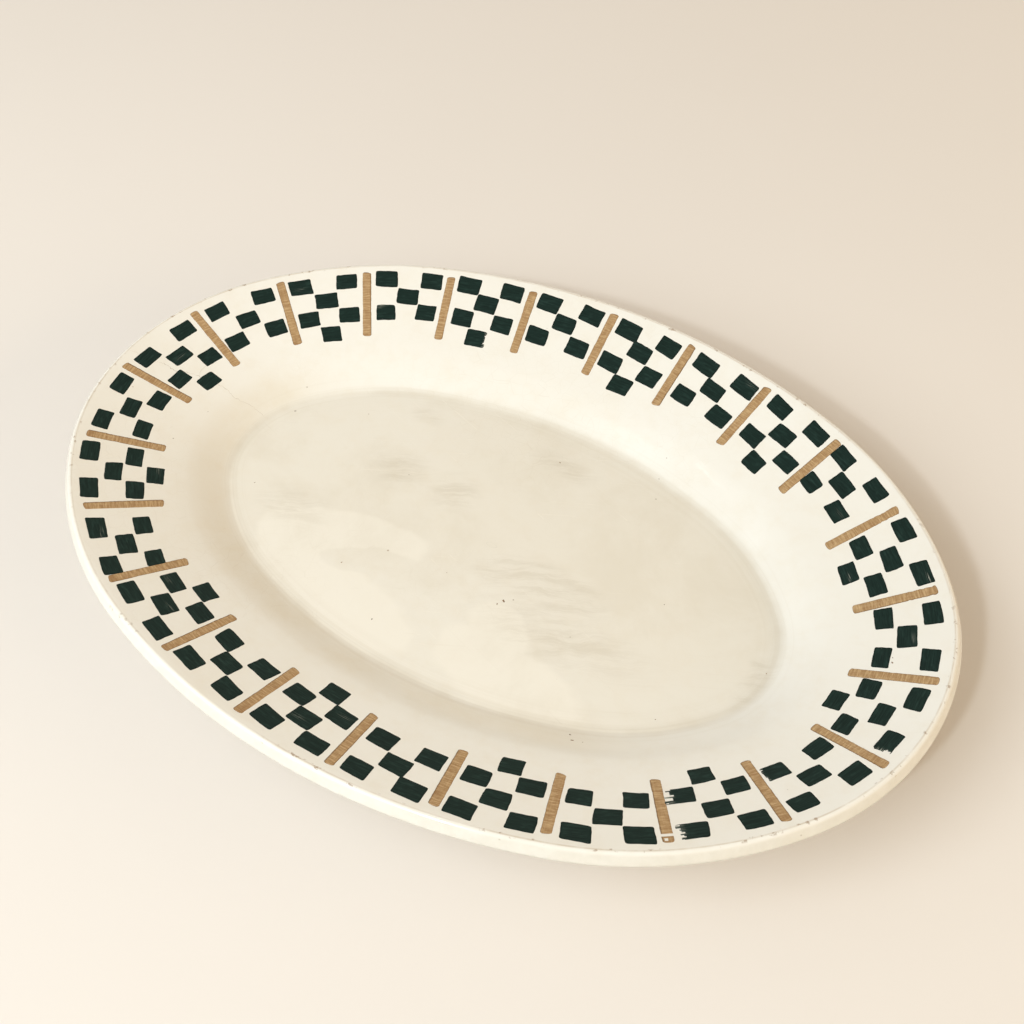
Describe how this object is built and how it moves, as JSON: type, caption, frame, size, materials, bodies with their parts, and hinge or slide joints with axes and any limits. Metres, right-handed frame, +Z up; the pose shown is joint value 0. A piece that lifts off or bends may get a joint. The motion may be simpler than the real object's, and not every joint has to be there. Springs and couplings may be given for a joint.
{
  "type": "oval serving platter",
  "caption": "Oval glazed earthenware serving platter with a shallow well, a wide sloping rim painted with radial bars and flat-brush checks, a thick rounded lip and a bare foot ring.",
  "frame": {"origin": "centre of the foot ring on the surface it stands on, which is the bottom centre of the bounding box", "axes": "+X along the long axis of the oval, +Y along the short axis, +Z up out of the well"},
  "size_m": [0.3504, 0.2524, 0.0317],
  "materials": {
    "fired_clay": "bare fired clay, matt and slightly gritty",
    "cream_glaze": "glossy cream glaze, crazed and faintly stained with age",
    "base_glaze": "glossy cream glaze inside the foot ring",
    "green_paint": "very dark green brush strokes under a glossy glaze",
    "ochre_paint": "ochre brown brush lines under a glossy glaze"
  },
  "bodies": {
    "root": {"clay_body": "fired_clay", "glaze_coat": "cream_glaze", "base_glaze": "base_glaze", "green_checks_outer": "green_paint", "green_checks_second": "green_paint", "green_checks_third": "green_paint", "green_checks_inner": "green_paint", "ochre_bars": "ochre_paint"}
  },
  "joints": []
}
